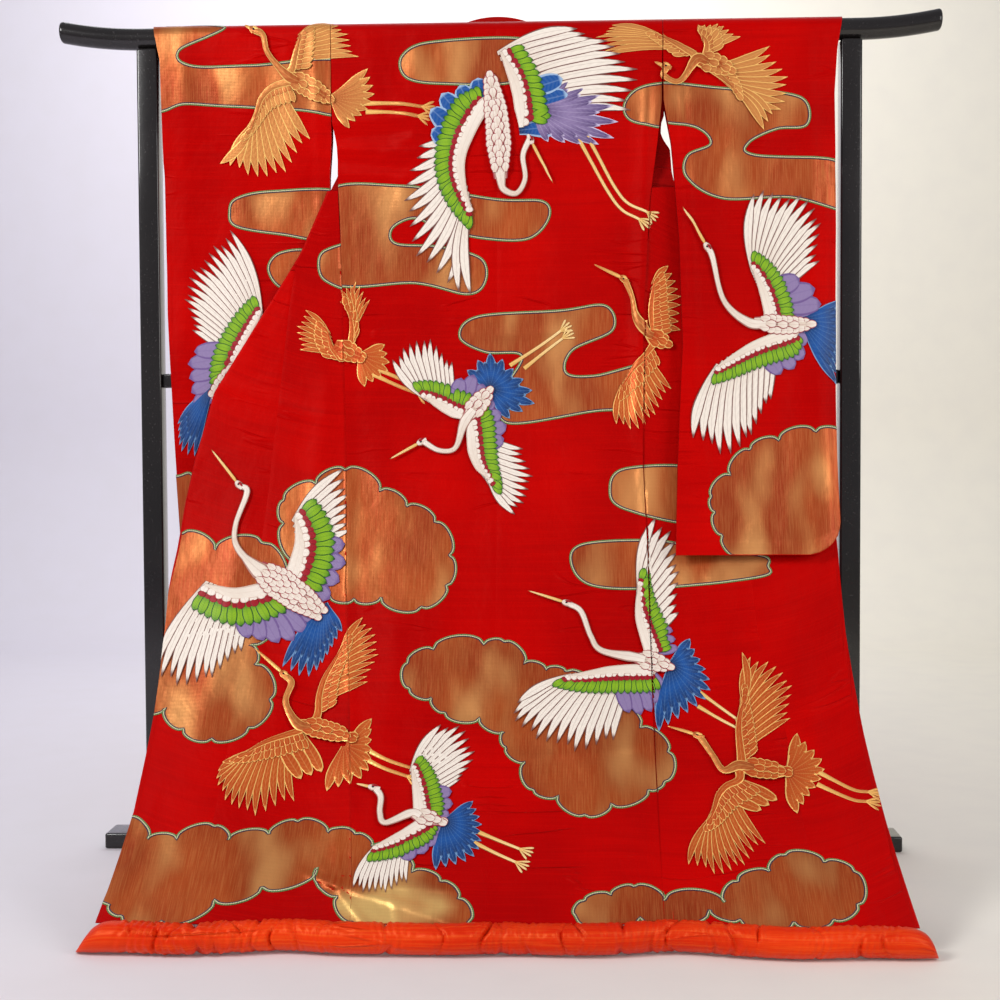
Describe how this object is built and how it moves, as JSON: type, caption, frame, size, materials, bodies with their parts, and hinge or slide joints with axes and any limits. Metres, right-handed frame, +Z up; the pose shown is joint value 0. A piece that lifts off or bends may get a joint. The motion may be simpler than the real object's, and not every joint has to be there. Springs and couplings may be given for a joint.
{
  "type": "uchikake wedding kimono on kimono stand",
  "caption": "Padded red bridal over-kimono with cranes and clouds, hung open over the bar of a black lacquered stand, its back to the viewer and the hem drawn forward.",
  "frame": {"origin": "on the floor, under the middle of the part's box", "axes": "+X along the bar to the viewer's right, -Y towards the viewer, where the hem lies, +Z up"},
  "size_m": [1.68, 0.7171, 1.6005],
  "materials": {
    "brocade_satin": "smooth red satin with woven gold clouds and embroidered cranes",
    "lining_satin": "plain red silk lining",
    "hem_satin": "orange red satin, padded",
    "black_lacquer": "glossy black lacquer"
  },
  "bodies": {
    "root": {"back_left": "brocade_satin", "back_right": "brocade_satin", "front_left": "brocade_satin", "front_right": "brocade_satin", "overlap_left": "brocade_satin", "overlap_right": "brocade_satin", "sleeve_left_front": "brocade_satin", "sleeve_left_rear": "brocade_satin", "sleeve_right_front": "brocade_satin", "sleeve_right_rear": "brocade_satin", "collar": "lining_satin", "hem_roll": "hem_satin", "top_bar": "black_lacquer", "post_left": "black_lacquer", "post_right": "black_lacquer", "middle_rail": "black_lacquer", "foot_left": "black_lacquer", "foot_right": "black_lacquer"}
  },
  "joints": []
}
